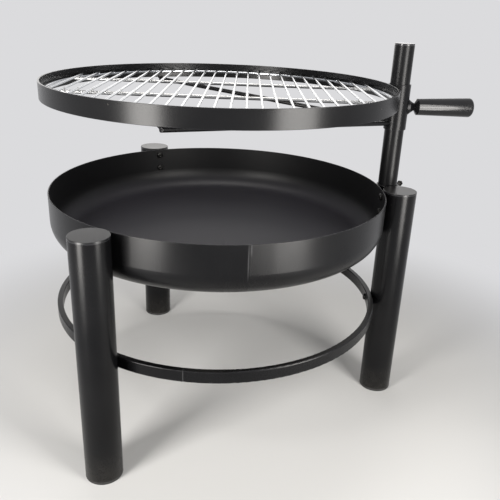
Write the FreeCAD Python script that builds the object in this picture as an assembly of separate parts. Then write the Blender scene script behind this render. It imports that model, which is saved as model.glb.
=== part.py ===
import FreeCAD, Part
import math
import os

# Fire bowl grill: a steel bowl on three tube legs, with a round cooking grate that is carried
# beside one leg by a post. The grate slides up and down the post, and swings with it.
# Sizes are in millimetres, +Z is up. The pieces are built about the bowl's axis, with +X towards
# the post, and are then moved so that the origin is under the middle of the whole object.

# Bowl
bowl_radius = 300.0
bowl_sheet = 2.0
bowl_depth = 87.0
bowl_corner = 40.0
rim_edge = 0.8
rim_drop = 2.0

# Legs: the post's leg first, then the others at equal turns
leg_radius = 30.15
leg_wall = 2.0
leg_height = 418.0
leg_names = ["post", "rear", "front"]
leg_cap_thickness = 3.0
leg_cap_edge = 0.8
foot_height = 5.0
foot_edge = 1.5
foot_plug_length = 18.0
foot_plug_wall = 2.5
plug_clearance = 0.1
side_gap = 0.1

# Base ring: rolled rectangular tube
ring_height = 20.0
ring_depth = 10.0
ring_wall = 1.5
ring_corner = 1.5
ring_inner_corner = 0.5
ring_bottom = 190.0

# Bolts and the threaded inserts that they are screwed into
bolt_radius = 4.0
bolt_hole_clearance = 0.4
bolt_thread_clearance = 0.05
bolt_head_radius = 6.5
bolt_head_height = 4.4
bolt_head_round = 3.0
bolt_socket_flats = 5.0
bolt_socket_depth = 2.6
bolt_overrun = 2.0
bolt_seat_gap = 0.15
bowl_bolt_drop = 12.0
bowl_bolt_spacing = 28.0
insert_radius = 5.5
insert_hole_clearance = 0.1
insert_length = 16.0
insert_collar_radius = 7.5
insert_collar_length = 5.0

# Post, the socket that it stands in, and the sleeve that slides on it
post_radius = 17.5
post_wall = 2.0
post_rise = 69.0
post_cap_thickness = 3.0
post_cap_edge = 1.0
post_cap_plug = 14.0
slide_clearance = 0.5
sleeve_wall = 2.0
tube_edge = 0.5
weld_gap = 0.2
weld_reach = 8.0
weld_end_margin = 4.0
socket_length = 90.0
socket_floor_thickness = 3.0
sleeve_length = 80.0

# Hoop of flat bar around the grid. The sleeve's top is level with the hoop's.
hoop_bar = 3.0
hoop_height = 28.0
hoop_rise = 185.0
hoop_edge = 0.6

# Struts from the sleeve to the far underside of the hoop
strut_radius = 4.0
strut_rise_start = 10.0
strut_far_angle = 110.5
strut_bite = 0.5

# Clamp on the sleeve: cone-shaped boss, threaded stud, grip and pressure pad
stud_radius = 5.0
stud_clearance = 0.1
stud_in_grip = 30.0
boss_base_radius = 13.5
boss_tip_radius = 6.5
boss_shoulder = 0.5
boss_length = 11.0
neck_length = 1.5
grip_length = 109.5
grip_front_radius = 7.0
grip_shoulder_radius = 14.6
grip_end_radius = 17.3
grip_chamfer = 5.0
grip_end_round = 5.0
pad_gap = 0.2
pad_thickness = 2.0
clamp_pad_radius = 4.0

# Lock screw on the socket
lock_turn = 40.0
lock_drop = 8.0
lock_screw_radius = 3.0
lock_boss_radius = 7.0
lock_boss_length = 12.0
lock_head_flats = 10.0
lock_head_height = 4.0
lock_head_bevel = 0.8
lock_head_gap = 16.0
lock_pad_radius = 2.4

# Chrome grid, which lies loose on tabs inside the hoop
grid_turn = -8.0
wire_radius = 2.0
wire_depth = 12.0
wire_spacing = 22.4
wire_end_margin = 6.0
wire_overhang = 1.5
rim_wire_radius = 2.25
rim_wire_gap = 3.5
cross_wire_radius = 2.75
cross_wire_offset = 87.0
wire_weld_gap = 0.05
tab_angles = [35.0, 145.0, 215.0, 325.0]
tab_reach = 12.0
tab_width = 16.0
tab_thickness = 3.0
tab_gap = 0.1

# Heights and places that follow from the sizes above
rim_height = leg_height - rim_drop
bowl_bottom = rim_height - bowl_depth
tube_inner = post_radius + slide_clearance
tube_outer = tube_inner + sleeve_wall
post_offset = bowl_radius + weld_gap + tube_outer
hoop_radius = bowl_radius
hoop_top = rim_height + hoop_rise
hoop_bottom = hoop_top - hoop_height
post_top = hoop_top + post_rise
sleeve_bottom = hoop_top - sleeve_length
clamp_height = hoop_top - sleeve_length / 2
socket_top = rim_height
socket_bottom = socket_top - socket_length
lock_height = socket_top - lock_drop
leg_offset = bowl_radius + side_gap + leg_radius
leg_to_post = leg_radius + weld_gap + tube_outer
post_leg_angle = -math.degrees(
    math.acos((leg_offset**2 + post_offset**2 - leg_to_post**2) / (2 * leg_offset * post_offset))
)
leg_angles = [post_leg_angle + i * 360 / len(leg_names) for i in range(len(leg_names))]
ring_radius = leg_offset - leg_radius - side_gap
ring_bolt_height = ring_bottom + ring_height / 2
bowl_bolt_heights = [rim_height - bowl_bolt_drop, rim_height - bowl_bolt_drop - bowl_bolt_spacing]
wire_height = hoop_top - wire_depth
rim_wire_height = wire_height - wire_radius - rim_wire_radius - wire_weld_gap
cross_wire_height = wire_height - wire_radius - cross_wire_radius - wire_weld_gap
rim_wire_offset = hoop_radius - hoop_bar - rim_wire_gap - rim_wire_radius
wires_each_side = int((rim_wire_offset - wire_end_margin) / wire_spacing)

Vec = FreeCAD.Vector
CENTRE = Vec(0, 0, 0)
UP = Vec(0, 0, 1)
OUT = Vec(1, 0, 0)
POST = Vec(post_offset, 0, 0)
same_height = 1e-4

pieces = {}


def around(angle, offset, height=0.0):
    """The point at an angle around the bowl's axis."""
    turn = math.radians(angle)
    return Vec(offset * math.cos(turn), offset * math.sin(turn), height)


def disc(radius, low, high, centre=CENTRE):
    return Part.makeCylinder(radius, high - low, Vec(centre.x, centre.y, low), UP)


def rod(radius, start, end):
    return Part.makeCylinder(radius, (end - start).Length, start, end - start)


def rounded_section(inner, outer, low, high, corner):
    """A rectangle with rounded corners, drawn in the XZ plane."""
    centres = [
        Vec(inner + corner, 0, low + corner),
        Vec(inner + corner, 0, high - corner),
        Vec(outer - corner, 0, high - corner),
        Vec(outer - corner, 0, low + corner),
    ]
    arcs = []
    for i, centre in enumerate(centres):
        points = []
        for quarters in (-1, -1.5, -2):
            turn = math.radians(90 * (quarters - i))
            points.append(centre + Vec(math.cos(turn), 0, math.sin(turn)) * corner)
        arcs.append(points)
    edges = []
    for i, points in enumerate(arcs):
        edges.append(Part.Arc(*points).toShape())
        edges.append(Part.makeLine(points[2], arcs[(i + 1) % 4][0]))
    return Part.Wire(edges)


def spun(wire, centre=CENTRE):
    """A closed outline in the XZ plane, turned about the upright axis through centre."""
    solid = Part.Face(wire).revolve(CENTRE, UP, 360)
    solid.translate(centre)
    return solid


def turned(points):
    """A body turned about the X axis, from its outline as (along, radius) points."""
    outline = Part.makePolygon([Vec(x, 0, r) for x, r in points + points[:1]])
    return Part.Face(outline).revolve(CENTRE, OUT, 360)


def aimed(shape, angle, height, centre=CENTRE):
    """A body that was made along +X, turned to an angle and lifted to its height."""
    moved = shape.copy()
    moved.rotate(CENTRE, UP, angle)
    moved.translate(Vec(centre.x, centre.y, height))
    return moved


def rounded_at(shape, height, radius):
    """The shape with the level edges at one height rounded."""
    level = [edge for edge in shape.Edges if edge.BoundBox.ZLength < same_height]
    return shape.makeFillet(radius, [e for e in level if abs(e.CenterOfMass.z - height) < same_height])


def weld_beads(first, first_radius, second, second_radius, low, high):
    """Two beads that fill the wedges on both sides of the line where two upright tubes meet."""
    along = (second - first).normalize()
    across = UP.cross(along)
    meeting = first + along * first_radius + UP * low
    beads = []
    for side in (across, -across):
        corners = [
            meeting + along * weld_reach,
            meeting - along * weld_reach,
            meeting - along * weld_reach + side * weld_reach,
            meeting + along * weld_reach + side * weld_reach,
        ]
        block = Part.Face(Part.makePolygon(corners + corners[:1])).extrude(UP * (high - low))
        bead = block.cut(disc(first_radius, low, high, first)).cut(disc(second_radius, low, high, second))
        beads += bead.Solids
    return beads


def hexagon_bar(flats, start, end):
    """A hexagon bar along +X."""
    corner = flats / math.sqrt(3)
    points = []
    for i in range(7):
        turn = math.radians(60 * i)
        points.append(Vec(start, corner * math.cos(turn), corner * math.sin(turn)))
    return Part.Face(Part.makePolygon(points)).extrude(OUT * (end - start))


def make_bolt(seat, tip):
    """A bolt along +X with a domed socket head, which bears on a wall at the seat's radius."""
    under_head = seat - bolt_seat_gap
    top = under_head - bolt_head_height
    head = rod(bolt_head_radius, OUT * top, OUT * under_head)
    top_edges = [e for e in head.Edges if e.BoundBox.XMax < top + bolt_head_height / 2]
    head = head.makeFillet(bolt_head_round, [e for e in top_edges if e.Curve.TypeId == "Part::GeomCircle"])
    head = head.cut(hexagon_bar(bolt_socket_flats, top, top + bolt_socket_depth))
    return head.fuse(rod(bolt_radius, OUT * under_head, OUT * tip)).removeSplitter()


def make_hex_screw(tip, head, radius):
    """A hexagon-head screw along +X, from its tip to the underside of its head."""
    top = head + lock_head_height
    corner = lock_head_flats / math.sqrt(3)
    top_radius = corner - 2 * lock_head_bevel
    bevelled = turned(
        [(head, 0), (head, corner), (top - lock_head_bevel, corner), (top, top_radius), (top, 0)]
    )
    hexagon = hexagon_bar(lock_head_flats, head, top).common(bevelled)
    return hexagon.fuse(rod(radius, OUT * tip, OUT * head)).removeSplitter()


def make_bowl():
    inner = bowl_radius - bowl_sheet
    inner_corner = bowl_corner - bowl_sheet
    corner_centre = Vec(bowl_radius - bowl_corner, 0, bowl_bottom + bowl_corner)
    half_way = Vec(math.sqrt(0.5), 0, -math.sqrt(0.5))
    rim_in = rim_edge * (1 - math.sqrt(0.5))
    outside = [
        Part.makeLine(Vec(0, 0, bowl_bottom), Vec(corner_centre.x, 0, bowl_bottom)),
        Part.Arc(
            Vec(corner_centre.x, 0, bowl_bottom),
            corner_centre + half_way * bowl_corner,
            Vec(bowl_radius, 0, corner_centre.z),
        ).toShape(),
        Part.makeLine(Vec(bowl_radius, 0, corner_centre.z), Vec(bowl_radius, 0, rim_height - rim_edge)),
    ]
    rim = [
        Part.Arc(
            Vec(bowl_radius, 0, rim_height - rim_edge),
            Vec(bowl_radius - rim_in, 0, rim_height - rim_in),
            Vec(bowl_radius - rim_edge, 0, rim_height),
        ).toShape(),
        Part.makeLine(Vec(bowl_radius - rim_edge, 0, rim_height), Vec(inner + rim_edge, 0, rim_height)),
        Part.Arc(
            Vec(inner + rim_edge, 0, rim_height),
            Vec(inner + rim_in, 0, rim_height - rim_in),
            Vec(inner, 0, rim_height - rim_edge),
        ).toShape(),
    ]
    inside = [
        Part.makeLine(Vec(inner, 0, rim_height - rim_edge), Vec(inner, 0, corner_centre.z)),
        Part.Arc(
            Vec(inner, 0, corner_centre.z),
            corner_centre + half_way * inner_corner,
            Vec(corner_centre.x, 0, bowl_bottom + bowl_sheet),
        ).toShape(),
        Part.makeLine(Vec(corner_centre.x, 0, bowl_bottom + bowl_sheet), Vec(0, 0, bowl_bottom + bowl_sheet)),
        Part.makeLine(Vec(0, 0, bowl_bottom + bowl_sheet), Vec(0, 0, bowl_bottom)),
    ]
    bowl = spun(Part.Wire(outside + rim + inside))
    hole_radius = bolt_radius + bolt_hole_clearance
    hole = rod(hole_radius, OUT * (inner - bowl_sheet), OUT * (bowl_radius + bowl_sheet))
    for angle in leg_angles:
        for height in bowl_bolt_heights:
            bowl = bowl.cut(aimed(hole, angle, height))
    return bowl


def make_leg(angle):
    centre = around(angle, leg_offset)
    low = foot_height
    high = leg_height - leg_cap_thickness
    leg = disc(leg_radius, low, high, centre).cut(disc(leg_radius - leg_wall, low, high, centre))
    hole_start = leg_offset - leg_radius - leg_wall
    hole = rod(insert_radius + insert_hole_clearance, OUT * hole_start, OUT * leg_offset)
    for height in bowl_bolt_heights + [ring_bolt_height]:
        leg = leg.cut(aimed(hole, angle, height))
    return leg


def make_leg_cap(angle):
    cap = disc(leg_radius, leg_height - leg_cap_thickness, leg_height, around(angle, leg_offset))
    return rounded_at(cap, leg_height, leg_cap_edge)


def make_foot(angle):
    """A plastic foot: a disc under the tube, with a hollow plug that fits inside it."""
    centre = around(angle, leg_offset)
    plug_radius = leg_radius - leg_wall - plug_clearance
    plug_top = foot_height + foot_plug_length
    sole = rounded_at(disc(leg_radius, 0, foot_height, centre), 0, foot_edge)
    plug = disc(plug_radius, foot_height, plug_top, centre)
    plug = plug.cut(disc(plug_radius - foot_plug_wall, foot_height, plug_top, centre))
    return sole.fuse(plug).removeSplitter()


def make_insert(leg, angle, height):
    """A threaded insert set flush in the leg's wall, with its collar drawn up behind the wall."""
    front = leg_offset - leg_radius
    back = front + insert_length
    collar_end = front + leg_wall + insert_collar_length
    slope_end = collar_end + insert_collar_radius - insert_radius
    bore = bolt_radius + bolt_thread_clearance
    body = turned(
        [(front, bore), (front, insert_radius), (front + leg_wall, insert_radius),
         (front + leg_wall, insert_collar_radius), (collar_end, insert_collar_radius),
         (slope_end, insert_radius), (back, insert_radius), (back, bore)]
    )
    return aimed(body, angle, height).cut(leg).Solids[0]


def make_base_ring():
    inner = ring_radius - ring_depth
    top = ring_bottom + ring_height
    outline = rounded_section(inner, ring_radius, ring_bottom, top, ring_corner)
    hollow = rounded_section(
        inner + ring_wall, ring_radius - ring_wall,
        ring_bottom + ring_wall, top - ring_wall, ring_inner_corner,
    )
    ring = spun(outline).cut(spun(hollow))
    hole_radius = bolt_radius + bolt_hole_clearance
    hole = rod(hole_radius, OUT * (inner - ring_wall), OUT * (ring_radius + ring_wall))
    for angle in leg_angles:
        ring = ring.cut(aimed(hole, angle, ring_bolt_height))
    return ring


def add_bowl_and_legs():
    pieces["bowl"] = [make_bowl()]
    pieces["base_ring"] = [make_base_ring()]
    bolt_tip = leg_offset - leg_radius + insert_length + bolt_overrun
    bowl_bolt = make_bolt(bowl_radius - bowl_sheet, bolt_tip)
    ring_bolt = make_bolt(ring_radius - ring_depth, bolt_tip)
    pieces["bowl_bolts"] = []
    pieces["ring_bolts"] = []
    pieces["leg_inserts"] = []
    for name, angle in zip(leg_names, leg_angles):
        leg = make_leg(angle)
        pieces["leg_" + name] = [leg]
        pieces["leg_cap_" + name] = [make_leg_cap(angle)]
        pieces["foot_" + name] = [make_foot(angle)]
        pieces["ring_bolts"].append(aimed(ring_bolt, angle, ring_bolt_height))
        for height in bowl_bolt_heights:
            pieces["bowl_bolts"].append(aimed(bowl_bolt, angle, height))
        for height in bowl_bolt_heights + [ring_bolt_height]:
            pieces["leg_inserts"].append(make_insert(leg, angle, height))


def add_socket():
    """The tube that the post stands in, welded to its leg, with the screw that locks the post."""
    socket = spun(rounded_section(tube_inner, tube_outer, socket_bottom, socket_top, tube_edge), POST)
    bore = rod(lock_screw_radius + bolt_hole_clearance, CENTRE, OUT * (tube_outer + lock_boss_length))
    pieces["socket_tube"] = [socket.cut(aimed(bore, lock_turn, lock_height, POST))]
    floor_high = socket_bottom + socket_floor_thickness
    pieces["socket_floor"] = [disc(tube_inner, socket_bottom, floor_high, POST)]
    leg = around(post_leg_angle, leg_offset)
    pieces["socket_welds"] = weld_beads(
        POST, tube_outer, leg, leg_radius, socket_bottom + weld_end_margin, socket_top - weld_end_margin
    )
    boss_end = tube_outer + lock_boss_length
    boss = rod(lock_boss_radius, OUT * tube_inner, OUT * boss_end)
    boss = aimed(boss, lock_turn, lock_height, POST).cut(disc(tube_outer, socket_bottom, socket_top, POST))
    thread = rod(lock_screw_radius + stud_clearance, CENTRE, OUT * boss_end)
    pieces["lock_boss"] = [boss.cut(aimed(thread, lock_turn, lock_height, POST))]
    pad_start = post_radius + pad_gap
    pad_end = pad_start + pad_thickness
    pad = rod(lock_pad_radius, OUT * pad_start, OUT * pad_end)
    screw = make_hex_screw(pad_end + pad_gap, boss_end + lock_head_gap, lock_screw_radius)
    pieces["lock_pad"] = [aimed(pad, lock_turn, lock_height, POST)]
    pieces["lock_screw"] = [aimed(screw, lock_turn, lock_height, POST)]


def add_post():
    low = socket_bottom + socket_floor_thickness
    high = post_top - post_cap_thickness
    inner = post_radius - post_wall
    pieces["post_tube"] = [disc(post_radius, low, high, POST).cut(disc(inner, low, high, POST))]
    cap = rounded_at(disc(post_radius, high, post_top, POST), post_top, post_cap_edge)
    plug = disc(inner - plug_clearance, high - post_cap_plug, high, POST)
    pieces["post_cap"] = [cap.fuse(plug).removeSplitter()]


def make_strut(hoop, side):
    """A round bar, cut to the sleeve at one end and set under the hoop's edge at the other."""
    start = Vec(post_offset, 0, sleeve_bottom + strut_rise_start)
    far_height = hoop_bottom - strut_radius + strut_bite
    far = around(side * strut_far_angle, hoop_radius - hoop_bar / 2, far_height)
    bar = rod(strut_radius, start, far)
    # Only the far end is trimmed to the hoop: the near end runs on past the hoop's circle to the sleeve.
    inside_hoop = disc(hoop_radius, sleeve_bottom, hoop_top)
    beside_sleeve = disc(2 * tube_outer, sleeve_bottom, hoop_top, POST)
    bar = bar.common(inside_hoop.fuse(beside_sleeve))
    bar = bar.cut(disc(tube_outer, sleeve_bottom, hoop_top, POST)).cut(hoop)
    return max(bar.Solids, key=lambda s: s.Volume)


def make_tab(angle):
    """A small plate inside the hoop, on which the grid's rim wire lies."""
    top = rim_wire_height - rim_wire_radius - tab_gap
    wall = hoop_radius - hoop_bar
    corner = Vec(wall - tab_reach, -tab_width / 2, top - tab_thickness)
    plate = Part.makeBox(tab_reach + hoop_bar, tab_width, tab_thickness, corner)
    return aimed(plate, angle, 0).common(disc(wall, hoop_bottom, hoop_top))


def add_carriage():
    """The sleeve with the hoop welded to it, the struts that brace the hoop, and the clamp's boss."""
    sleeve = spun(rounded_section(tube_inner, tube_outer, sleeve_bottom, hoop_top, tube_edge), POST)
    stud_hole = rod(stud_radius + bolt_hole_clearance, CENTRE, OUT * (tube_outer + boss_length))
    pieces["sleeve"] = [sleeve.cut(aimed(stud_hole, 0, clamp_height, POST))]
    hoop = spun(rounded_section(hoop_radius - hoop_bar, hoop_radius, hoop_bottom, hoop_top, hoop_edge))
    pieces["hoop"] = [hoop]
    pieces["hoop_welds"] = weld_beads(
        CENTRE, hoop_radius, POST, tube_outer, hoop_bottom + weld_end_margin, hoop_top - weld_end_margin
    )
    pieces["strut_front"] = [make_strut(hoop, -1)]
    pieces["strut_rear"] = [make_strut(hoop, 1)]
    pieces["grid_tabs"] = [make_tab(angle) for angle in tab_angles]
    boss_tip = tube_outer + boss_length
    thread = stud_radius + stud_clearance
    boss = turned(
        [(0, thread), (0, boss_base_radius), (tube_outer + boss_shoulder, boss_base_radius),
         (boss_tip, boss_tip_radius), (boss_tip, thread)]
    )
    boss = aimed(boss, 0, clamp_height, POST).cut(disc(tube_outer, sleeve_bottom, hoop_top, POST))
    pieces["clamp_boss"] = [boss]


def add_clamp():
    """The pad, the threaded stud and the grip, which are screwed in along +X."""
    pad_start = post_radius + pad_gap
    stud_start = pad_start + pad_thickness + pad_gap
    grip_start = tube_outer + boss_length + neck_length
    grip_end = grip_start + grip_length
    stud_end = grip_start + stud_in_grip
    pad = rod(clamp_pad_radius, OUT * pad_start, OUT * (pad_start + pad_thickness))
    stud = rod(stud_radius, OUT * stud_start, OUT * stud_end)
    grip = turned(
        [(grip_start, 0), (grip_start, grip_front_radius), (grip_start + grip_chamfer, grip_shoulder_radius),
         (grip_end, grip_end_radius), (grip_end, 0)]
    )
    end_edges = [e for e in grip.Edges if e.BoundBox.XMin > grip_end - grip_chamfer]
    grip = grip.makeFillet(grip_end_round, [e for e in end_edges if e.Curve.TypeId == "Part::GeomCircle"])
    grip = grip.cut(rod(stud_radius + bolt_thread_clearance, OUT * grip_start, OUT * stud_end))
    pieces["clamp_pad"] = [aimed(pad, 0, clamp_height, POST)]
    pieces["clamp_stud"] = [aimed(stud, 0, clamp_height, POST)]
    pieces["grip"] = [aimed(grip, 0, clamp_height, POST)]


def add_grid():
    """The loose chrome grid: long wires on top, two cross wires and the rim wire under them."""
    rim = Part.makeTorus(rim_wire_offset, rim_wire_radius, Vec(0, 0, rim_wire_height))
    wires = []
    for i in range(-wires_each_side, wires_each_side + 1):
        x = i * wire_spacing
        half = math.sqrt((rim_wire_offset + wire_overhang) ** 2 - x**2)
        wires.append(rod(wire_radius, Vec(x, -half, wire_height), Vec(x, half, wire_height)))
    crosses = []
    rim_inside = rim_wire_offset - rim_wire_radius - wire_weld_gap
    half = math.sqrt(rim_inside**2 - (cross_wire_offset + cross_wire_radius) ** 2)
    for y in (-cross_wire_offset, cross_wire_offset):
        start = Vec(-half, y, cross_wire_height)
        crosses.append(rod(cross_wire_radius, start, Vec(half, y, cross_wire_height)))
    pieces["grid_rim"] = [rim]
    pieces["grid_wires"] = [aimed(wire, grid_turn, 0) for wire in wires]
    pieces["grid_crosswires"] = [aimed(bar, grid_turn, 0) for bar in crosses]


add_bowl_and_legs()
add_socket()
add_post()
add_carriage()
add_clamp()
add_grid()

whole = Part.makeCompound([solid for solids in pieces.values() for solid in solids])
box = whole.optimalBoundingBox()
middle = Vec(box.Center.x, box.Center.y, box.ZMin)
print("bowl axis at", round(-middle.x, 4), round(-middle.y, 4))
print("size", round(box.XLength, 3), round(box.YLength, 3), round(box.ZLength, 3))

os.makedirs("parts", exist_ok=True)
for name, solids in pieces.items():
    shape = solids[0] if len(solids) == 1 else Part.makeCompound(solids)
    shape.translate(-middle)
    shape.exportStep("parts/" + name + ".step")
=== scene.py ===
import math

import bpy
from mathutils import Matrix, Vector


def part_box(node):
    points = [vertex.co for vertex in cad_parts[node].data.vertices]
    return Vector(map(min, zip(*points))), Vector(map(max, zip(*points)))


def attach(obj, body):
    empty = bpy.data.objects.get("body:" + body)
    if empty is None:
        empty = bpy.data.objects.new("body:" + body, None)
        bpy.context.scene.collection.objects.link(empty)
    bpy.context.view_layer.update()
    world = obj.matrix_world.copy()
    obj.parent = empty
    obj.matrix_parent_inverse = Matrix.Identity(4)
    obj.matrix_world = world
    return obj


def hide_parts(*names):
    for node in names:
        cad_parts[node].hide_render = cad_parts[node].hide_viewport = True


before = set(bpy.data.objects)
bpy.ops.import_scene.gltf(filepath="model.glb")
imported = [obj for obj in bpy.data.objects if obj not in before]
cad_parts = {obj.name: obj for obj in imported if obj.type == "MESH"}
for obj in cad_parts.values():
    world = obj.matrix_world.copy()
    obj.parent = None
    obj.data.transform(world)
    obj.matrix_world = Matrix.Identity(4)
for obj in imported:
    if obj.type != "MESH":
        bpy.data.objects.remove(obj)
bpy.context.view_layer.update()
bpy.ops.object.select_all(action="DESELECT")


# The bowl. A wall of 2 mm steel sheet, rolled round, butt-welded and ground flush, on a pressed floor
# with a rounded corner, blasted and powder-coated. Six bolts through its wall hold it to the legs.
bowl_low, bowl_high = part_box("bowl")
bowl_axis = (bowl_low + bowl_high) / 2
bowl_radius = (bowl_high.x - bowl_low.x) / 2
bowl_corner = 0.040
wall_foot = bowl_low.z + bowl_corner
wall_top = bowl_high.z
coat_dark = "#060607"
coat_light = "#0c0c0d"
# Colour along the coat's edges: a thin coat, lightened as a painted edge highlight.
thin_coat_edge_highlight = "#2e2e31"
dust_colour = "#6b6760"
inside_colour = "#0a0a0b"
# Cool light grey of the inside floor: a painted reflection of the room above.
painted_floor_reflection_colour = "#212024"
# Painted highlight lines on the edges of the ground seams, where the coat is also thin.
seam_highlight_colour = "#333334"
smear_colour = "#0a0a0a"
cloud_mm = 110.0
peel_mm = 5.0          # real orange peel is 2 to 3 mm wide, drawn coarser so that it shows
peel_height_mm = 0.0025
grain_mm = 1.6
nib_spacing_mm = 30.0
belt_line_mm = 2.2     # a grinding belt's lines are 0.3 mm apart, drawn coarser so that they show
belt_line_stretch = 0.02
seam_angle = -87.1
seam_flat_mm = 30.0
seam_half_width_mm = 1.9
seam_line_mm = 1.5
smear_angle = -75.1
smear_mm = 2.2
smear_low = 0.014      # above the wall's foot
smear_high = 0.028
inside_roughness = 0.42


def hex_colour(code):
    """Linear colour of an sRGB hex value."""
    channels = [int(code[i:i + 2], 16) / 255 for i in (1, 3, 5)]
    return [c / 12.92 if c <= 0.04045 else ((c + 0.055) / 1.055) ** 2.4 for c in channels] + [1.0]


def add(material, kind, sockets=None, gives=0, **settings):
    """Adds a node with its settings. A socket takes a value or another node's output."""
    node = material.node_tree.nodes.new("ShaderNode" + kind)
    for name, value in settings.items():
        setattr(node, name, value)
    for name, value in (sockets or {}).items():
        if isinstance(value, bpy.types.NodeSocket):
            material.node_tree.links.new(value, node.inputs[name])
        else:
            node.inputs[name].default_value = value
    return node.outputs[gives]


def new_finish(name, constants=None):
    """A material and its shader, with the values that are the same all over the surface."""
    finish = bpy.data.materials.new(name)
    finish.use_nodes = True
    shader = finish.node_tree.nodes["Principled BSDF"]
    for socket, value in (constants or {}).items():
        shader.inputs[socket].default_value = value
    return finish, shader


def cover(finish, shader, colour, roughness, normal):
    """Links a finish's own patterns to its shader."""
    finish.node_tree.links.new(colour, shader.inputs["Base Color"])
    finish.node_tree.links.new(roughness, shader.inputs["Roughness"])
    finish.node_tree.links.new(normal, shader.inputs["Normal"])


def lay_over(finish, mask, colour, roughness):
    """Lays another finish, such as dust or bare metal, over a material where the mask is 1."""
    shader = finish.node_tree.nodes["Principled BSDF"]
    layers = (
        ("Base Color", "RGBA", (6, 7, 2), hex_colour(colour)),
        ("Roughness", "FLOAT", (2, 3, 0), roughness),
    )
    for name, kind, (under, over, result), value in layers:
        socket = shader.inputs[name]
        below = socket.links[0].from_socket
        mixed = add(finish, "Mix", {0: mask, under: below, over: value}, result, data_type=kind)
        finish.node_tree.links.new(mixed, socket)


def two_tones(finish, share, dark, light):
    """A colour between two tones of one finish."""
    tones = {0: share, 6: hex_colour(dark), 7: hex_colour(light)}
    return add(finish, "Mix", tones, 2, data_type="RGBA")


def noise(finish, place, size_mm, detail):
    """A cloudy pattern with patches of about one size."""
    return add(finish, "TexNoise", {"Vector": place, "Scale": 1000 / size_mm, "Detail": detail})


def relief(finish, pattern, height_mm):
    """A skin that rises and sinks with a pattern."""
    return add(finish, "Bump", {"Height": pattern, "Strength": 1.0, "Distance": height_mm / 1000})


def along_edges(finish, width_mm):
    """A mask that is 1 on the outer edges of a piece, where paint is thin and gets rubbed."""
    rounded = add(finish, "Bevel", {"Radius": width_mm / 1000}, samples=6)
    flat = add(finish, "NewGeometry", gives="Normal")
    turn = add(finish, "VectorMath", {0: rounded, 1: flat}, "Value", operation="DOT_PRODUCT")
    return add(finish, "MapRange", {"Value": turn, "From Min": 0.998, "From Max": 0.93})


def powder_coat(name, roughness=0.24, edge_mm=1.2, shine=0.2):
    """Black polyester powder coat, sprayed and baked: satin, with fine orange peel, a little cloudy
    in tone and gloss, thin on the edges with a painted highlight along them, a few specks and a trace of
    dust."""
    coat, shader = new_finish(name, {"Specular IOR Level": shine})
    place = add(coat, "TexCoord", gives="Object")
    facing = add(coat, "TexCoord", gives="Normal")
    cloud = noise(coat, place, cloud_mm, detail=4.0)
    grain = noise(coat, place, grain_mm, detail=2.0)
    peel = noise(coat, place, peel_mm, detail=1.0)
    tone = add(coat, "MapRange", {"Value": cloud, "From Min": 0.35, "From Max": 0.65})
    tint = two_tones(coat, tone, coat_dark, coat_light)
    satin = {"From Min": 0.3, "From Max": 0.7, "To Min": roughness - 0.02, "To Max": roughness + 0.02}
    gloss = add(coat, "MapRange", {"Value": cloud, **satin})
    fine = {"From Min": 0.3, "From Max": 0.7, "To Min": -0.015, "To Max": 0.015}
    speckle = add(coat, "MapRange", {"Value": grain, **fine})
    rough = add(coat, "Math", {0: gloss, 1: speckle}, operation="ADD")
    skin = relief(coat, peel, peel_height_mm)
    cover(coat, shader, tint, rough, skin)
    # The edges are painted lighter: partly the thin coat there, partly a painted edge highlight.
    lay_over(coat, along_edges(coat, edge_mm), thin_coat_edge_highlight, roughness - 0.05)
    from_nib = add(coat, "TexVoronoi", {"Vector": place, "Scale": 1000 / nib_spacing_mm})
    nibs = add(coat, "MapRange", {"Value": from_nib, "From Min": 0.030, "From Max": 0.018, "To Max": 0.35})
    lay_over(coat, nibs, dust_colour, roughness=0.5)
    upward = add(coat, "SeparateXYZ", {0: facing}, "Z")
    settled = add(coat, "MapRange", {"Value": upward, "From Min": 0.8, "From Max": 1.0, "To Max": 0.05})
    dust = add(coat, "Math", {0: settled, 1: tone}, operation="MULTIPLY")
    lay_over(coat, dust, dust_colour, roughness=0.75)
    return coat


def upright_lines(finish, width_mm, stretch, strength, roughness):
    """Faint upright lines that rolls or a grinding belt left, which show in the gloss of the coat."""
    place = add(finish, "TexCoord", gives="Object")
    drawn_out = add(finish, "Mapping", {"Vector": place, "Scale": (1, 1, stretch)})
    lines = noise(finish, drawn_out, width_mm, detail=2.0)
    shown = add(finish, "MapRange", {"Value": lines, "From Min": 0.5, "From Max": 0.7, "To Max": strength})
    lay_over(finish, shown, coat_light, roughness)


def seen_along(finish, angle):
    """Place from the bowl's axis, with X outwards along an angle round it, Y sideways and Z up."""
    place = add(finish, "TexCoord", gives="Object")
    centred = add(finish, "Mapping", {"Vector": place, "Location": (-bowl_axis.x, -bowl_axis.y, 0)})
    return add(finish, "Mapping", {"Vector": centred, "Rotation": (0, 0, -math.radians(angle))})


def upright_mark(finish, angle, offset_mm, width_mm, low, high):
    """A mask for an upright mark at an angle round the bowl's axis, between two heights."""
    spot = seen_along(finish, angle)
    outward = add(finish, "SeparateXYZ", {0: spot}, "X")
    aside = add(finish, "SeparateXYZ", {0: spot}, "Y")
    height = add(finish, "SeparateXYZ", {0: spot}, "Z")
    from_line = add(finish, "Math", {0: aside, 1: offset_mm / 1000}, operation="SUBTRACT")
    off_line = add(finish, "Math", {0: from_line}, operation="ABSOLUTE")
    mark = add(finish, "MapRange", {"Value": off_line, "From Min": width_mm / 1000, "From Max": 0.0})
    fade = (high - low) / 4
    near_side = add(finish, "Math", {0: outward, 1: 0.0}, operation="GREATER_THAN")
    above = add(finish, "MapRange", {"Value": height, "From Min": low - fade, "From Max": low + fade})
    below = add(finish, "MapRange", {"Value": height, "From Min": high + fade, "From Max": high - fade})
    for limit in (near_side, above, below):
        mark = add(finish, "Math", {0: mark, 1: limit}, operation="MULTIPLY")
    return mark


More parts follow.
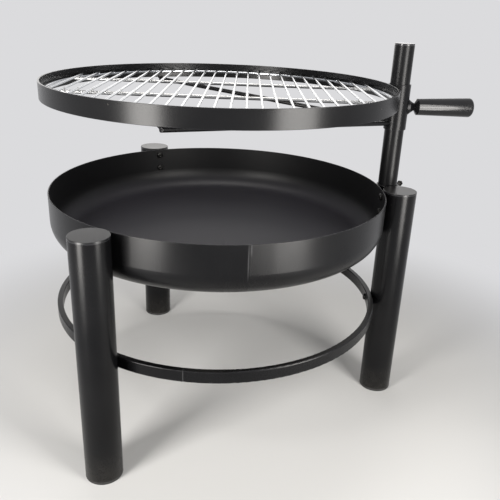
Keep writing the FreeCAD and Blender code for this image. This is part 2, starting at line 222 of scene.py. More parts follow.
def seam_peak(finish, angle, flat_mm, radius):
    """Rolls leave both ends of a sheet or bar nearly flat, so that a joint stands out in a low peak."""
    spot = seen_along(finish, angle)
    outward = add(finish, "SeparateXYZ", {0: spot}, "X")
    aside = add(finish, "SeparateXYZ", {0: spot}, "Y")
    off_seam = add(finish, "Math", {0: aside}, operation="ABSOLUTE")
    flat = flat_mm / 1000
    to_flat = {"From Max": flat, "To Min": flat, "To Max": 0.0}
    left_over = add(finish, "MapRange", {"Value": off_seam, **to_flat})
    squared = add(finish, "Math", {0: left_over, 1: 2.0}, operation="POWER")
    height = add(finish, "Math", {0: squared, 1: 2 * radius}, operation="DIVIDE")
    near_side = add(finish, "Math", {0: outward, 1: 0.0}, operation="GREATER_THAN")
    one_side = add(finish, "Math", {0: height, 1: near_side}, operation="MULTIPLY")
    shader = finish.node_tree.nodes["Principled BSDF"]
    skin = shader.inputs["Normal"].links[0].from_socket
    peak = add(finish, "Bump", {"Height": one_side, "Normal": skin, "Strength": 1.0, "Distance": 1.0})
    finish.node_tree.links.new(peak, shader.inputs["Normal"])


def dress(finish, *names):
    """Gives CAD nodes a finish."""
    for name in names:
        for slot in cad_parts[name].material_slots:
            slot.material = finish


# Powder-coated rolled sheet: upright belt lines show in the gloss of the wall, and a ground seam runs up
# its front, its edges drawn as painted highlight lines. The inside has the flatter look of a heat-resistant
# coat, and its floor is painted a lighter cool grey as a painted reflection of the room above.
bowl_coat = powder_coat("powder_coated_rolled_sheet", roughness=0.30)
upright_lines(bowl_coat, belt_line_mm, belt_line_stretch, strength=0.4, roughness=0.24)
# The seam's two edges are painted as light lines: painted highlights, the right one only on the upper
# third.
seam_left_highlight = upright_mark(bowl_coat, seam_angle, -seam_half_width_mm, seam_line_mm, wall_foot, wall_top)
lay_over(bowl_coat, seam_left_highlight, seam_highlight_colour, roughness=0.4)
seam_upper = wall_top - (wall_top - wall_foot) / 3
seam_right_highlight = upright_mark(bowl_coat, seam_angle, seam_half_width_mm, seam_line_mm, seam_upper, wall_top)
lay_over(bowl_coat, seam_right_highlight, seam_highlight_colour, roughness=0.4)
smear = upright_mark(bowl_coat, smear_angle, 0.0, smear_mm, wall_foot + smear_low, wall_foot + smear_high)
lay_over(bowl_coat, smear, smear_colour, roughness=0.38)
seam_peak(bowl_coat, seam_angle, seam_flat_mm, bowl_radius)
bowl_place = add(bowl_coat, "TexCoord", gives="Object")
bowl_facing = add(bowl_coat, "TexCoord", gives="Normal")
bowl_heart = Vector((bowl_axis.x, bowl_axis.y, bowl_high.z))
to_heart = add(bowl_coat, "VectorMath", {0: bowl_heart, 1: bowl_place}, "Vector", operation="SUBTRACT")
inward = add(bowl_coat, "VectorMath", {0: to_heart, 1: bowl_facing}, "Value", operation="DOT_PRODUCT")
is_inside = add(bowl_coat, "Math", {0: inward, 1: 0.0}, operation="GREATER_THAN")
lay_over(bowl_coat, is_inside, inside_colour, inside_roughness)
# The inside floor, where it faces up, is painted a lighter cool grey: a painted reflection of the room
# above.
bowl_upward = add(bowl_coat, "SeparateXYZ", {0: bowl_facing}, "Z")
faces_up = add(bowl_coat, "MapRange", {"Value": bowl_upward, "From Min": 0.3, "From Max": 0.95})
floor_reflection_mask = add(bowl_coat, "Math", {0: is_inside, 1: faces_up}, operation="MULTIPLY")
lay_over(bowl_coat, floor_reflection_mask, painted_floor_reflection_colour, inside_roughness)
dress(bowl_coat, "bowl")


# The legs. Three lengths of 60 mm welded steel tube, bolted against the bowl's wall and powder-coated.
# Each has a round steel cap welded on top and ground flush.
roll_line_mm = 4.0
roll_line_stretch = 0.02
splash_mm = 12.0
splash_height = 0.06

# Powder-coated rolled tube: the coat follows faint lines that the rolls left along the tube, and
# dried splashes dull it near the floor.
leg_coat = powder_coat("powder_coated_rolled_tube", roughness=0.25)
upright_lines(leg_coat, roll_line_mm, roll_line_stretch, strength=0.3, roughness=0.23)
leg_place = add(leg_coat, "TexCoord", gives="Object")
leg_height = add(leg_coat, "SeparateXYZ", {0: leg_place}, "Z")
low_down = {"From Min": splash_height, "From Max": 0.005, "To Max": 0.12}
near_floor = add(leg_coat, "MapRange", {"Value": leg_height, **low_down})
splash = noise(leg_coat, leg_place, splash_mm, detail=5.0)
splashed = add(leg_coat, "Math", {0: near_floor, 1: splash}, operation="MULTIPLY")
lay_over(leg_coat, splashed, dust_colour, roughness=0.7)
dress(leg_coat, "leg_post", "leg_rear", "leg_front")

# Powder-coated flat steel: the caps mirror the room from above on a flatter, finer skin.
cap_coat = powder_coat("powder_coated_flat_steel", roughness=0.30, edge_mm=1.0, shine=0.45)
dress(cap_coat, "leg_cap_post", "leg_cap_rear", "leg_cap_front")


# The feet. Moulded black polyethylene plugs, pushed into the open ends of the legs, so that the
# tubes don't stand on bare metal. Their soles are scuffed by the floor.
foot_dark = "#171717"
foot_light = "#242423"
foot_worn = "#3b3a38"
foot_grain_mm = 1.5
foot_cloud_mm = 25.0
foot_grain_height_mm = 0.02

# Moulded polyethylene: dull, slightly waxy, with a fine spark-eroded grain.
foot_plastic, foot_shader = new_finish("moulded_polyethylene", {"IOR": 1.51})
foot_place = add(foot_plastic, "TexCoord", gives="Object")
foot_grain = noise(foot_plastic, foot_place, foot_grain_mm, detail=3.0)
foot_cloud = noise(foot_plastic, foot_place, foot_cloud_mm, detail=3.0)
foot_tint = two_tones(foot_plastic, foot_cloud, foot_dark, foot_light)
foot_rough = add(foot_plastic, "MapRange", {"Value": foot_cloud, "To Min": 0.5, "To Max": 0.62})
foot_skin = relief(foot_plastic, foot_grain, foot_grain_height_mm)
cover(foot_plastic, foot_shader, foot_tint, foot_rough, foot_skin)
lay_over(foot_plastic, along_edges(foot_plastic, width_mm=1.5), foot_worn, roughness=0.7)
dress(foot_plastic, "foot_post", "foot_rear", "foot_front")


# The base ring. A 20 x 10 mm rectangular tube, rolled to a ring, butt-welded and powder-coated.
# It lies inside the legs and is bolted to them, so that they can't spread.
ring_low, ring_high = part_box("base_ring")
ring_radius = (ring_high.x - ring_low.x) / 2
ring_seam_angle = -105.2
ring_seam_flat_mm = 16.0
ring_seam_line_mm = 1.2

# Powder-coated rolled ring: satin like the rest, with one ground butt weld at its front, drawn as a painted
# highlight line.
ring_coat = powder_coat("powder_coated_rolled_ring", roughness=0.27, edge_mm=1.6)
# The ring's seam is a painted highlight line.
ring_seam = upright_mark(ring_coat, ring_seam_angle, 0.0, ring_seam_line_mm, ring_low.z, ring_high.z)
lay_over(ring_coat, ring_seam, seam_highlight_colour, roughness=0.45)
seam_peak(ring_coat, ring_seam_angle, ring_seam_flat_mm, ring_radius)
dress(ring_coat, "base_ring")


# The bolts. M8 button-head socket screws in black oxide, two through the bowl's wall and one through
# the base ring at each leg, screwed into zinc-plated inserts that are set in the tube's wall.
oxide_dark = "#161616"
oxide_light = "#282827"
oxide_rubbed = "#8a8783"
oxide_cloud_mm = 4.0
oxide_height_mm = 0.03
zinc_dark = "#8d9093"
zinc_light = "#b4b7b8"
zinc_rubbed = "#c9cbcc"
spangle_mm = 1.2
spangle_height_mm = 0.01

# Black oxide on steel: a thin dark skin that still shines as metal, browner where it is thin.
oxide, oxide_shader = new_finish("black_oxide_steel", {"Metallic": 0.85})
oxide_place = add(oxide, "TexCoord", gives="Object")
oxide_cloud = noise(oxide, oxide_place, oxide_cloud_mm, detail=4.0)
oxide_tint = two_tones(oxide, oxide_cloud, oxide_dark, oxide_light)
oxide_rough = add(oxide, "MapRange", {"Value": oxide_cloud, "To Min": 0.22, "To Max": 0.38})
oxide_skin = relief(oxide, oxide_cloud, oxide_height_mm)
cover(oxide, oxide_shader, oxide_tint, oxide_rough, oxide_skin)
lay_over(oxide, along_edges(oxide, width_mm=0.5), oxide_rubbed, roughness=0.25)
dress(oxide, "bowl_bolts", "ring_bolts")

# Zinc plate on steel: a bluish grey metal with a fine spangle.
zinc, zinc_shader = new_finish("zinc_plated_steel", {"Metallic": 1.0})
zinc_place = add(zinc, "TexCoord", gives="Object")
spangle = add(zinc, "TexVoronoi", {"Vector": zinc_place, "Scale": 1000 / spangle_mm}, "Color")
spangle_tone = add(zinc, "SeparateColor", {0: spangle})
zinc_tint = two_tones(zinc, spangle_tone, zinc_dark, zinc_light)
zinc_rough = add(zinc, "MapRange", {"Value": spangle_tone, "To Min": 0.25, "To Max": 0.4})
zinc_skin = relief(zinc, spangle_tone, spangle_height_mm)
cover(zinc, zinc_shader, zinc_tint, zinc_rough, zinc_skin)
lay_over(zinc, along_edges(zinc, width_mm=0.4), zinc_rubbed, roughness=0.2)
dress(zinc, "leg_inserts")


# The socket. A 90 mm length of 40 mm tube with a floor, in which the post stands and turns. It is
# welded to its leg along both sides, and a boss for the lock screw is welded to its outer side.
socket_coat = powder_coat("powder_coated_welded_tube", roughness=0.25, edge_mm=1.0)
dress(socket_coat, "socket_tube", "socket_floor", "lock_boss")


# The socket's welds. Beads laid by hand with wire and gas, each a row of ripples that froze one after
# another, left as they are and coated with the rest: two along the leg, and one round the boss.
ripple_mm = 1.9
ripple_swell = 1.16
bead_sides = 14
bead_end_share = 0.4
bead_margin = 0.004
post_low, post_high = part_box("post_tube")
post_axis = (post_low + post_high) / 2
socket_low, socket_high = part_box("socket_tube")
socket_radius = (socket_high.x - socket_low.x) / 2
leg_low, leg_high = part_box("leg_post")
leg_axis = (leg_low + leg_high) / 2
socket_bead_width = 0.007
socket_bead_depth = 0.0045
socket_bead_offset = 0.0062
lock_turn = math.radians(40.0)
lock_low, lock_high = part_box("lock_screw")
lock_height = (lock_low.z + lock_high.z) / 2
lock_boss_radius = 0.007
lock_bead_thickness = 0.0018
UP = Vector((0, 0, 1))
bead_coat = powder_coat("powder_coated_weld_bead", roughness=0.32, edge_mm=0.4)


def weld_bead(start, end, across, width, depth):
    """A straight bead: a round section, pushed along ripple by ripple, fuller in the middle of each."""
    along = end - start
    ripples = round(along.length * 1000 / ripple_mm)
    rise = along.length / ripples
    bpy.ops.object.select_all(action="DESELECT")
    bpy.ops.mesh.primitive_circle_add(vertices=bead_sides, radius=0.5, fill_type="NGON")
    bead = bpy.context.object
    bpy.ops.object.mode_set(mode="EDIT")
    bpy.ops.mesh.select_all(action="SELECT")
    bpy.ops.transform.resize(value=(bead_end_share, bead_end_share, 1))
    steps = [(rise / 2, 1 / bead_end_share)]
    for _ in range(ripples - 1):
        steps += [(rise / 2, ripple_swell), (rise / 2, 1 / ripple_swell)]
    steps += [(rise / 2, bead_end_share)]
    for push, swell in steps:
        bpy.ops.mesh.extrude_region_move(TRANSFORM_OT_translate={"value": (0, 0, push)})
        bpy.ops.transform.resize(value=(swell, swell, 1), center_override=(0, 0, 0))
    bpy.ops.mesh.select_all(action="SELECT")
    bpy.ops.mesh.normals_make_consistent(inside=False)
    bpy.ops.object.mode_set(mode="OBJECT")
    along.normalize()
    turn = Matrix((across, along.cross(across), along)).transposed().to_4x4()
    bead.matrix_world = Matrix.Translation(start) @ turn @ Matrix.Diagonal((width, depth, 1, 1))
    return bead


def ring_bead(middle, direction, foot_radius, thickness, carrier):
    """A bead round the foot of a bar or boss, which follows the skin of the tube that carries it."""
    bpy.ops.object.select_all(action="DESELECT")
    radius = foot_radius + thickness / 4
    ripples = round(2 * math.pi * radius * 1000 / ripple_mm)
    facing = direction.to_track_quat("Z", "Y").to_euler()
    bpy.ops.mesh.primitive_circle_add(vertices=2 * ripples, radius=radius, location=middle, rotation=facing)
    bead = bpy.context.object
    seat = bead.modifiers.new("seat", "SHRINKWRAP")
    seat.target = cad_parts[carrier]
    seat.wrap_method = "PROJECT"
    seat.use_project_z = True
    seat.use_positive_direction = False
    seat.use_negative_direction = True
    bpy.ops.object.modifier_apply(modifier="seat")
    bpy.ops.object.convert(target="CURVE")
    bead.data.bevel_depth = thickness / 2
    bead.data.bevel_resolution = 2
    for number, point in enumerate(bead.data.splines[0].points):
        point.radius = ripple_swell if number % 2 else 1.0
    bpy.ops.object.convert(target="MESH")
    return bead


def finish_beads(beads, name, body):
    """Joins the beads of one group, smooths and coats them, and lets them ride on their body."""
    bpy.ops.object.select_all(action="DESELECT")
    for bead in beads:
        bead.select_set(True)
    bpy.context.view_layer.objects.active = beads[0]
    bpy.ops.object.transform_apply(location=True, rotation=True, scale=True)
    bpy.ops.object.join()
    joined = bpy.context.object
    joined.name = name
    bpy.ops.object.mode_set(mode="EDIT")
    bpy.ops.mesh.select_all(action="SELECT")
    bpy.ops.mesh.normals_make_consistent(inside=False)
    bpy.ops.object.mode_set(mode="OBJECT")
    soft = joined.modifiers.new("soft", "SUBSURF")
    soft.levels = 1
    soft.render_levels = 1
    bpy.ops.object.modifier_apply(modifier="soft")
    bpy.ops.object.shade_smooth()
    joined.data.materials.append(bead_coat)
    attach(joined, body)
    return joined


towards_leg = Vector((leg_axis.x - post_axis.x, leg_axis.y - post_axis.y, 0)).normalized()
across_leg = UP.cross(towards_leg)
socket_beads = []
for side in (-1, 1):
    spot = post_axis + towards_leg * socket_radius + across_leg * side * socket_bead_offset
    start = Vector((spot.x, spot.y, socket_low.z + bead_margin))
    end = Vector((spot.x, spot.y, socket_high.z - bead_margin))
    socket_beads.append(weld_bead(start, end, towards_leg, socket_bead_width, socket_bead_depth))
socket_weld = finish_beads(socket_beads, "socket_weld_beads", "frame")
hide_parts("socket_welds")

lock_way = Vector((math.cos(lock_turn), math.sin(lock_turn), 0))
lock_axis = Vector((post_axis.x, post_axis.y, lock_height))
lock_bead_start = lock_axis + lock_way * (socket_radius + lock_boss_radius)
lock_bead = ring_bead(lock_bead_start, lock_way, lock_boss_radius, lock_bead_thickness, "socket_tube")
finish_beads([lock_bead], "lock_boss_bead", "frame")


# The lock screw. An M6 hexagon screw in black oxide, with its thread showing between the boss and its
# head. Its turned brass pad presses on the post, and stops it from swinging.
lock_pitch = 0.001
lock_radius = 0.003
lock_tip = 0.0199
lock_head_start = 0.048
lock_head_height = 0.004
lock_head_flats = 0.010
lock_head_edge = 0.0005
thread_steps = 28
thread_depth_share = 0.6
thread_crest_share = 0.16
brass_dark = "#8a6d34"
brass_light = "#c2a25a"
brass_cloud_mm = 1.0
brass_height_mm = 0.01


def pick(piece, wanted):
    """Goes into edit mode with just those points of a mesh selected that the test wants."""
    bpy.ops.object.mode_set(mode="EDIT")
    bpy.ops.mesh.select_mode(type="VERT")
    bpy.ops.mesh.select_all(action="DESELECT")
    bpy.ops.object.mode_set(mode="OBJECT")
    for point in piece.data.vertices:
        point.select = wanted(point.co)
    bpy.ops.object.mode_set(mode="EDIT")


def thread(name, length, radius, pitch):
    """A right-hand thread along +X: one tooth's outline, wound round the axis turn by turn."""
    depth = thread_depth_share * pitch
    bpy.ops.object.select_all(action="DESELECT")
    bpy.ops.mesh.primitive_plane_add(size=1, rotation=(math.radians(90), 0, 0))
    rod = bpy.context.object
    rod.name = name
    bpy.ops.object.transform_apply(location=True, rotation=True, scale=True)
    bpy.ops.object.mode_set(mode="EDIT")
    bpy.ops.mesh.delete(type="ONLY_FACE")
    pick(rod, lambda co: co.z > 0)
    bpy.ops.transform.resize(value=(thread_crest_share, 1, 1), center_override=(0, 0, 0))
    pick(rod, lambda co: co.z < 0)
    bpy.ops.mesh.delete(type="EDGE")
    bpy.ops.mesh.select_all(action="SELECT")
    bpy.ops.transform.resize(value=(pitch, 1, depth), center_override=(0, 0, 0))
    bpy.ops.transform.translate(value=(pitch / 2, 0, radius - depth / 2))
    bpy.ops.object.mode_set(mode="OBJECT")
    wound = rod.modifiers.new("wound", "SCREW")
    wound.axis = "X"
    wound.screw_offset = pitch
    wound.iterations = round(length / pitch)
    wound.steps = thread_steps
    wound.render_steps = thread_steps
    bpy.ops.object.modifier_apply(modifier="wound")
    bpy.ops.object.mode_set(mode="EDIT")
    bpy.ops.mesh.select_all(action="SELECT")
    bpy.ops.mesh.remove_doubles(threshold=pitch / 50)
    bpy.ops.mesh.select_all(action="DESELECT")
    bpy.ops.mesh.select_non_manifold(extend=False)
    bpy.ops.mesh.fill_holes(sides=0)
    bpy.ops.mesh.select_all(action="SELECT")
    bpy.ops.mesh.normals_make_consistent(inside=False)
    bpy.ops.object.mode_set(mode="OBJECT")
    bpy.ops.object.shade_smooth_by_angle(angle=math.radians(40))
    return rod


lock_rod = thread("lock_rod", lock_head_start - lock_tip, lock_radius, lock_pitch)
lock_rod.location = (lock_tip, 0, 0)
bpy.ops.object.select_all(action="DESELECT")
bpy.ops.mesh.primitive_cylinder_add(
    vertices=6, radius=lock_head_flats / math.sqrt(3), depth=lock_head_height,
    location=(lock_head_start + lock_head_height / 2, 0, 0), rotation=(0, math.radians(90), 0),
)
lock_head = bpy.context.object
bpy.ops.object.mode_set(mode="EDIT")
bpy.ops.mesh.select_all(action="SELECT")
bpy.ops.mesh.bevel(offset=lock_head_edge, segments=2, affect="EDGES")
bpy.ops.object.mode_set(mode="OBJECT")
bpy.ops.object.shade_smooth_by_angle(angle=math.radians(30))
bpy.ops.object.select_all(action="DESELECT")
lock_rod.select_set(True)
lock_head.select_set(True)
bpy.context.view_layer.objects.active = lock_rod
bpy.ops.object.transform_apply(location=True, rotation=True, scale=True)
bpy.ops.object.join()
lock_screw = bpy.context.object
lock_screw.name = "lock_screw_threaded"
lock_screw.rotation_euler = (0, 0, lock_turn)
lock_screw.location = lock_axis
bpy.ops.object.transform_apply(location=True, rotation=True, scale=True)
lock_screw.data.materials.append(oxide)
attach(lock_screw, "lock_screw")
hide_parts("lock_screw")

# Turned brass: fine tool marks, dulled to a brownish yellow.
brass, brass_shader = new_finish("turned_brass", {"Metallic": 1.0})
brass_place = add(brass, "TexCoord", gives="Object")
brass_cloud = noise(brass, brass_place, brass_cloud_mm, detail=4.0)
brass_tint = two_tones(brass, brass_cloud, brass_dark, brass_light)
brass_rough = add(brass, "MapRange", {"Value": brass_cloud, "To Min": 0.3, "To Max": 0.5})
brass_skin = relief(brass, brass_cloud, brass_height_mm)
cover(brass, brass_shader, brass_tint, brass_rough, brass_skin)
dress(brass, "lock_pad", "clamp_pad")


# The post. A 35 mm steel tube that stands loose in the socket, powder-coated and closed by a cap.
# The sleeve has rubbed it smoother where it slides.
rub_line_mm = 2.0
rub_line_stretch = 0.01
post_coat = powder_coat("powder_coated_drawn_post", roughness=0.30, edge_mm=1.0)
upright_lines(post_coat, rub_line_mm, rub_line_stretch, strength=0.25, roughness=0.25)
dress(post_coat, "post_tube")

# Moulded polypropylene: the cap is glossier than the coat, so that its top mirrors the pale room.
cap_dark = "#1b1b1c"
cap_light = "#28282a"
cap_worn = "#47474a"
cap_cloud_mm = 10.0
cap_height_mm = 0.02
cap_plastic, cap_shader = new_finish("moulded_polypropylene", {"IOR": 1.49})
cap_place = add(cap_plastic, "TexCoord", gives="Object")
cap_cloud = noise(cap_plastic, cap_place, cap_cloud_mm, detail=4.0)
cap_tint = two_tones(cap_plastic, cap_cloud, cap_dark, cap_light)
cap_rough = add(cap_plastic, "MapRange", {"Value": cap_cloud, "To Min": 0.12, "To Max": 0.22})
cap_skin = relief(cap_plastic, cap_cloud, cap_height_mm)
cover(cap_plastic, cap_shader, cap_tint, cap_rough, cap_skin)
lay_over(cap_plastic, along_edges(cap_plastic, width_mm=0.8), cap_worn, roughness=0.25)
dress(cap_plastic, "post_cap")


# The carriage. A sleeve that slides on the post, with a hoop of flat bar welded to it, four tabs
# inside the hoop for the grid, two round struts that brace the hoop from below, and the clamp's boss.
hoop_coat = powder_coat("powder_coated_flat_bar", roughness=0.25, edge_mm=0.9, shine=0.24)
dress(hoop_coat, "hoop")
sleeve_coat = powder_coat("powder_coated_sleeve", roughness=0.30, edge_mm=1.0)
dress(sleeve_coat, "sleeve", "clamp_boss")
strut_coat = powder_coat("powder_coated_round_bar", roughness=0.28, edge_mm=0.8)
dress(strut_coat, "strut_front", "strut_rear", "grid_tabs")


# The carriage's welds. Two upright beads behind the hoop, one round the boss and one round each strut
# on the sleeve, two where each strut meets the hoop, and one under each tab.
hoop_low, hoop_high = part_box("hoop")
hoop_radius = (hoop_high.x - hoop_low.x) / 2
hoop_bar = 0.003
hoop_bead_offset = 0.0068
hoop_bead_width = 0.0032
hoop_bead_depth = 0.005
sleeve_low, sleeve_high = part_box("sleeve")
sleeve_radius = (sleeve_high.x - sleeve_low.x) / 2
boss_low, boss_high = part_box("clamp_boss")
boss_radius = (boss_high.z - boss_low.z) / 2
clamp_height = (boss_low.z + boss_high.z) / 2
boss_bead_thickness = 0.0015
strut_radius = 0.004
strut_rise_start = 0.010
strut_far_angle = 110.5
strut_bite = 0.0005
strut_bead_thickness = 0.003
strut_bead_length = 0.011
strut_bead_width = 0.0045
strut_bead_inset = 0.0024
tabs_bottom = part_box("grid_tabs")[0].z
tab_angles = (35.0, 145.0, 215.0, 325.0)
tab_bead_length = 0.012
tab_bead_width = 0.0035


def around(angle, radius, height):
    """A point at an angle in degrees round the bowl's axis."""
    turn = math.radians(angle)
    return Vector((bowl_axis.x + radius * math.cos(turn), bowl_axis.y + radius * math.sin(turn), height))


hoop_beads = []
for side in (-1, 1):
    spot = around(0, hoop_radius, 0) + Vector((0, side * hoop_bead_offset, 0))
    start = spot + UP * (hoop_low.z + bead_margin)
    end = spot + UP * (hoop_high.z - bead_margin)
    hoop_beads.append(weld_bead(start, end, Vector((1, 0, 0)), hoop_bead_width, hoop_bead_depth))
hoop_weld = finish_beads(hoop_beads, "hoop_weld_beads", "carriage")
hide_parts("hoop_welds")

boss_way = Vector((1, 0, 0))
clamp_axis = Vector((post_axis.x, post_axis.y, clamp_height))
boss_foot = clamp_axis + boss_way * (sleeve_radius + boss_bead_thickness)
carriage_beads = [ring_bead(boss_foot, boss_way, boss_radius, boss_bead_thickness, "sleeve")]
strut_start = Vector((post_axis.x, post_axis.y, sleeve_low.z + strut_rise_start))
for side in (-1, 1):
    hoop_middle = hoop_radius - hoop_bar / 2
    strut_end = around(side * strut_far_angle, hoop_middle, hoop_low.z - strut_radius + strut_bite)
    strut_way = (strut_end - strut_start).normalized()
    strut_foot = strut_start + strut_way * (sleeve_radius + strut_radius)
    carriage_beads.append(ring_bead(strut_foot, strut_way, strut_radius, strut_bead_thickness, "sleeve"))
    outward = around(side * strut_far_angle, 1, 0) - around(0, 0, 0)
    tangent = UP.cross(outward)
    under_edge = strut_end + UP * (strut_radius - strut_bite)
    inner = under_edge - outward * strut_bead_inset
    half = tangent * strut_bead_length / 2
    inner_bead = weld_bead(inner - half, inner + half, outward, strut_bead_width, strut_bead_width)
    carriage_beads.append(inner_bead)
    aside = UP.cross(strut_way).normalized()
    outer = strut_end + UP * strut_radius / 2
    half = aside * strut_radius
    carriage_beads.append(weld_bead(outer - half, outer + half, strut_way, hoop_bar, strut_bead_width))
for angle in tab_angles:
    under_tab = around(angle, hoop_radius - hoop_bar, tabs_bottom)
    outward = around(angle, 1, 0) - around(0, 0, 0)
    half = UP.cross(outward) * tab_bead_length / 2
    tab_bead = weld_bead(under_tab - half, under_tab + half, outward, tab_bead_width, tab_bead_width)
    carriage_beads.append(tab_bead)
finish_beads(carriage_beads, "carriage_weld_beads", "carriage")


# The clamp's handle. A black M10 stud, moulded into a tapered grip of glossy black phenolic.
# Turned in, it presses its pad on the post and holds the grate at its height.
stud_radius = 0.005
stud_pitch = 0.0015
stud_low, stud_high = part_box("clamp_stud")
stud = thread("clamp_stud_threaded", stud_high.x - stud_low.x, stud_radius, stud_pitch)
stud.location = (stud_low.x, post_axis.y, clamp_height)
bpy.ops.object.transform_apply(location=True, rotation=True, scale=True)
stud.data.materials.append(oxide)
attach(stud, "clamp_handle")
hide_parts("clamp_stud")

# Moulded phenolic: deep black and glossy, a little wavy, with a fine flash line where the mould's
# halves met and a haze of fine scratches from hands.
grip_dark = "#101011"
grip_light = "#19191a"
grip_worn = "#2c2c2d"
grip_wave_mm = 18.0
grip_wave_height_mm = 0.05
grip_scratch_mm = 1.2
grip_scratch_stretch = 0.04
flash_mm = 0.35
flash_height_mm = 0.08
gloss_skin = {"Specular IOR Level": 0.32, "Coat Weight": 0.1, "Coat Roughness": 0.06}
phenolic, phenolic_shader = new_finish("moulded_phenolic", gloss_skin)
grip_place = add(phenolic, "TexCoord", gives="Object")
grip_wave = noise(phenolic, grip_place, grip_wave_mm, detail=4.0)
grip_tint = two_tones(phenolic, grip_wave, grip_dark, grip_light)
grip_lines = add(phenolic, "Mapping", {"Vector": grip_place, "Scale": (grip_scratch_stretch, 1, 1)})
handled = noise(phenolic, grip_lines, grip_scratch_mm, detail=3.0)
hand_haze = {"From Min": 0.35, "From Max": 0.7, "To Min": 0.09, "To Max": 0.18}
grip_rough = add(phenolic, "MapRange", {"Value": handled, **hand_haze})
grip_z = add(phenolic, "SeparateXYZ", {0: grip_place}, "Z")
from_middle = add(phenolic, "Math", {0: grip_z, 1: clamp_height}, operation="SUBTRACT")
off_flash = add(phenolic, "Math", {0: from_middle}, operation="ABSOLUTE")
flash = add(phenolic, "MapRange", {"Value": off_flash, "From Min": flash_mm / 1000, "From Max": 0.0})
waves = relief(phenolic, grip_wave, grip_wave_height_mm)
standing_up = {"Strength": 1.0, "Distance": flash_height_mm / 1000}
ridge = add(phenolic, "Bump", {"Height": flash, "Normal": waves, **standing_up})
cover(phenolic, phenolic_shader, grip_tint, grip_rough, ridge)
lay_over(phenolic, along_edges(phenolic, width_mm=1.0), grip_worn, roughness=0.25)
dress(phenolic, "grip")


# The grid. 25 long wires on a rim wire and two cross wires, spot-welded at every crossing and
# chrome-plated. It lies loose on the tabs, so that it can be lifted out for cleaning.
chrome_dark = "#9fa2a5"
chrome_light = "#cbcdd0"
spot_tint = "#8f8a80"
drawn_line_mm = 0.8
drawn_line_stretch = 0.03
drawn_line_height_mm = 0.01
chrome_haze_mm = 35.0
grid_turn = -8.0
wires_each_side = 12
wire_spacing = 0.0224
rim_low, rim_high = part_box("grid_rim")
rim_wire_radius = (rim_high.z - rim_low.z) / 2
rim_offset = (rim_high.x - rim_low.x) / 2 - rim_wire_radius
cross_offset = 0.087
spot_reach = 0.006
spot_radius = 0.0023
spot_thickness = 0.0015
spot_sides = 8
spot_edge = 0.0006

# Chrome plate on drawn wire: a bright mirror, drawn lines along the wire, and duller, slightly
# straw-coloured spots where it was welded to the cross wires.
chrome, chrome_shader = new_finish("chrome_plated_wire", {"Metallic": 1.0})
chrome_place = add(chrome, "TexCoord", gives="Object")
along_wires = seen_along(chrome, grid_turn)
drawn = add(chrome, "Mapping", {"Vector": along_wires, "Scale": (1, drawn_line_stretch, 1)})
wire_lines = noise(chrome, drawn, drawn_line_mm, detail=2.0)
haze = noise(chrome, chrome_place, chrome_haze_mm, detail=4.0)
chrome_tint = two_tones(chrome, haze, chrome_dark, chrome_light)
bright = {"From Min": 0.3, "From Max": 0.7, "To Min": 0.1, "To Max": 0.2}
chrome_rough = add(chrome, "MapRange", {"Value": haze, **bright})
chrome_skin = relief(chrome, wire_lines, drawn_line_height_mm)
cover(chrome, chrome_shader, chrome_tint, chrome_rough, chrome_skin)
across = add(chrome, "SeparateXYZ", {0: along_wires}, "Y")
either_side = add(chrome, "Math", {0: across}, operation="ABSOLUTE")
from_cross = add(chrome, "Math", {0: either_side, 1: cross_offset}, operation="SUBTRACT")
off_cross = add(chrome, "Math", {0: from_cross}, operation="ABSOLUTE")
near_weld = {"From Min": spot_reach, "From Max": 0.001, "To Max": 0.5}
at_weld = add(chrome, "MapRange", {"Value": off_cross, **near_weld})
lay_over(chrome, at_weld, spot_tint, roughness=0.3)
dress(chrome, "grid_rim", "grid_wires", "grid_crosswires")

# The spot welds: metal pressed out round each crossing, where the hot wires sank into each other.
bpy.ops.object.select_all(action="DESELECT")
bpy.ops.mesh.primitive_cylinder_add(vertices=spot_sides, radius=spot_radius, depth=spot_thickness)
first_spot = bpy.context.object
bpy.ops.object.mode_set(mode="EDIT")
bpy.ops.mesh.select_all(action="SELECT")
bpy.ops.mesh.bevel(offset=spot_edge, segments=2, affect="EDGES")
bpy.ops.object.mode_set(mode="OBJECT")
wires_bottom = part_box("grid_wires")[0].z
grid_turned = Matrix.Rotation(math.radians(grid_turn), 4, "Z")
spots = []
for number in range(-wires_each_side, wires_each_side + 1):
    aside = number * wire_spacing
    rim_reach = math.sqrt(rim_offset ** 2 - aside ** 2)
    for reach in (-rim_reach, -cross_offset, cross_offset, rim_reach):
        bpy.ops.object.select_all(action="DESELECT")
        first_spot.select_set(True)
        bpy.ops.object.duplicate(linked=False)
        copy = bpy.context.selected_objects[0]
        copy.location = grid_turned @ Vector((aside, reach, 0))
        copy.location += Vector((bowl_axis.x, bowl_axis.y, wires_bottom))
        spots.append(copy)
bpy.data.objects.remove(first_spot)
bpy.ops.object.select_all(action="DESELECT")
for copy in spots:
    copy.select_set(True)
bpy.context.view_layer.objects.active = spots[0]
bpy.ops.object.transform_apply(location=True, rotation=True, scale=True)
bpy.ops.object.join()
spot_welds = bpy.context.object
spot_welds.name = "grid_spot_welds"
bpy.ops.object.shade_smooth()
spot_welds.data.materials.append(chrome)
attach(spot_welds, "grid")


# The studio: a pale floor that runs on into a pale room, with two pairs of gridded soft lights in front
# to the left and right, a long low one far behind and one overhead.
floor_colour = "#c9c9c8"
room_colour = "#dbdbdd"
room_fill = 0.2
floor_size = 60.0
fade_start = 0.35
fade_end = 0.95
object_middle = Vector((bowl_axis.x, bowl_axis.y, 0.4))
light_colour = "#fffcf8"
grid_spread = math.radians(110)

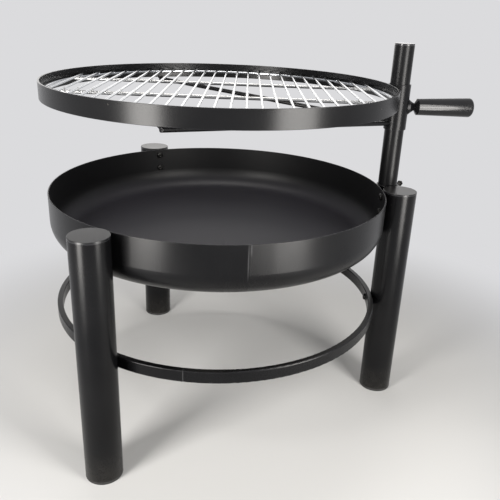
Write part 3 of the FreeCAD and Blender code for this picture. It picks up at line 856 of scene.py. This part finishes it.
bpy.ops.object.select_all(action="DESELECT")
bpy.ops.mesh.primitive_plane_add(size=floor_size)
floor = bpy.context.object
floor.name = "studio_floor"
floor_matt = {"Base Color": hex_colour(floor_colour), "Roughness": 0.9, "Specular IOR Level": 0.1}
floor_paint, floor_shader = new_finish("painted_studio_floor", floor_matt)
floor_place = add(floor_paint, "TexCoord", gives="Object")
floor_distance = add(floor_paint, "VectorMath", {0: floor_place}, "Value", operation="LENGTH")
fading = {"Value": floor_distance, "From Min": fade_start, "From Max": fade_end}
far_off = add(floor_paint, "MapRange", fading, interpolation_type="SMOOTHSTEP")
far_light = add(floor_paint, "Emission", {"Color": hex_colour(room_colour)})
faded = add(floor_paint, "MixShader", {0: far_off, 1: floor_shader.outputs[0], 2: far_light})
floor_paint.node_tree.links.new(faded, floor_paint.node_tree.nodes["Material Output"].inputs["Surface"])
floor.data.materials.append(floor_paint)

world = bpy.data.worlds.new("studio_room")
bpy.context.scene.world = world
world.use_nodes = True
room = world.node_tree.nodes["Background"]
room.inputs["Color"].default_value = hex_colour(room_colour)
seen = add(world, "LightPath", gives="Is Camera Ray")
mirrored = add(world, "LightPath", gives="Is Glossy Ray")
passed = add(world, "LightPath", gives="Is Transmission Ray")
in_view = add(world, "Math", {0: seen, 1: mirrored}, operation="MAXIMUM")
in_view = add(world, "Math", {0: in_view, 1: passed}, operation="MAXIMUM")
room_light = add(world, "MapRange", {"Value": in_view, "To Min": room_fill, "To Max": 1.0})
world.node_tree.links.new(room_light, room.inputs["Strength"])


def soft_light(name, place, width, height, brightness):
    """A gridded softbox that faces the object, as bright there as so many times a white wall."""
    lamp = bpy.data.lights.new(name, "AREA")
    lamp.color = hex_colour(light_colour)[:3]
    lamp.shape = "RECTANGLE"
    lamp.size = width
    lamp.size_y = height
    lamp.spread = grid_spread
    kept_share = 1 - grid_spread / 2 / math.tan(grid_spread / 2)
    lamp.energy = brightness * kept_share * math.pi * width * height
    light = bpy.data.objects.new(name, lamp)
    bpy.context.scene.collection.objects.link(light)
    light.location = place
    aim = object_middle - Vector(place)
    light.rotation_euler = aim.to_track_quat("-Z", "Y").to_euler()
    light.visible_camera = False


soft_light("left_softbox", (-0.85, -0.80, 0.42), 0.32, 0.80, 25.0)
soft_light("left_upper_softbox", (-0.85, -0.80, 1.04), 0.32, 0.36, 25.0)
soft_light("right_softbox", (0.52, -0.92, 0.42), 0.42, 0.80, 20.0)
soft_light("right_upper_softbox", (0.52, -0.92, 1.04), 0.42, 0.36, 12.0)
soft_light("back_softbox", (-0.10, 2.40, 0.75), 4.50, 0.90, 1.4)
soft_light("top_softbox", (-0.08, 0.25, 2.00), 0.90, 0.50, 12.0)


# The camera stands in front of the object, a little to the left, and looks down on it.
camera_place = Vector((-0.18466, -1.08159, 0.72242))
camera_yaw = math.radians(8.800)
camera_pitch = math.radians(22.136)
camera_roll = math.radians(2.287)
focal_length_px = 602.804
picture_px = 500
sensor_mm = 36.0

lens = bpy.data.cameras.new("camera")
lens.sensor_width = sensor_mm
lens.lens = focal_length_px / picture_px * sensor_mm
camera = bpy.data.objects.new("camera", lens)
bpy.context.scene.collection.objects.link(camera)
heading = Matrix.Rotation(-camera_yaw, 4, "Z")
tilt = Matrix.Rotation(math.pi / 2 - camera_pitch, 4, "X")
roll = Matrix.Rotation(camera_roll, 4, "Z")
camera.matrix_world = Matrix.Translation(camera_place) @ heading @ tilt @ roll
bpy.context.scene.camera = camera
bpy.context.scene.view_settings.view_transform = "Standard"
